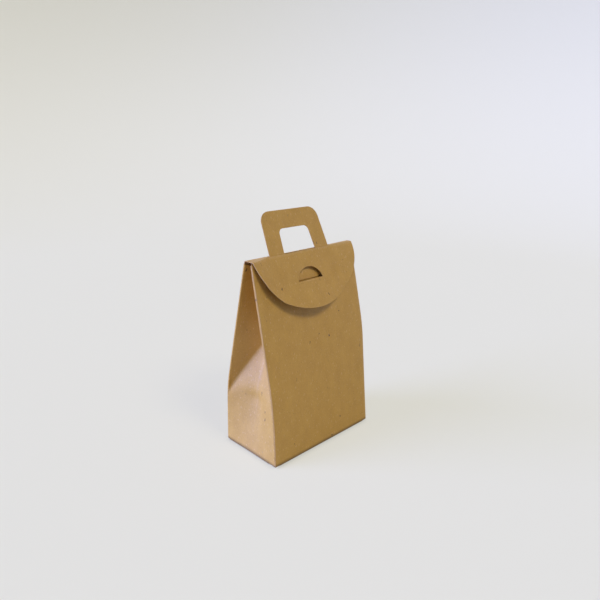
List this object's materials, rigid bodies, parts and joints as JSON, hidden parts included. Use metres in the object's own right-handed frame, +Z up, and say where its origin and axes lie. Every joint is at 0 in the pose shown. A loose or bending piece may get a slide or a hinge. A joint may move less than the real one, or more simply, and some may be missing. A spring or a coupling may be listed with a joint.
{
  "type": "kraft card carry bag",
  "caption": "Small folded kraft card bag with gusseted sides, a rounded closing flap held by a half-moon tongue, and a die-cut carry handle that passes up through the flap.",
  "frame": {"origin": "middle of the bag's bounding box, on the surface that it stands on", "axes": "+X along the width, -Y out of the front panel that the flap closes on, +Z up towards the handle"},
  "size_m": [0.1005, 0.0538, 0.1714],
  "materials": {
    "kraft_card": "matt unbleached kraft card"
  },
  "bodies": {
    "root": {"paper_bag": "kraft_card"}
  },
  "joints": []
}
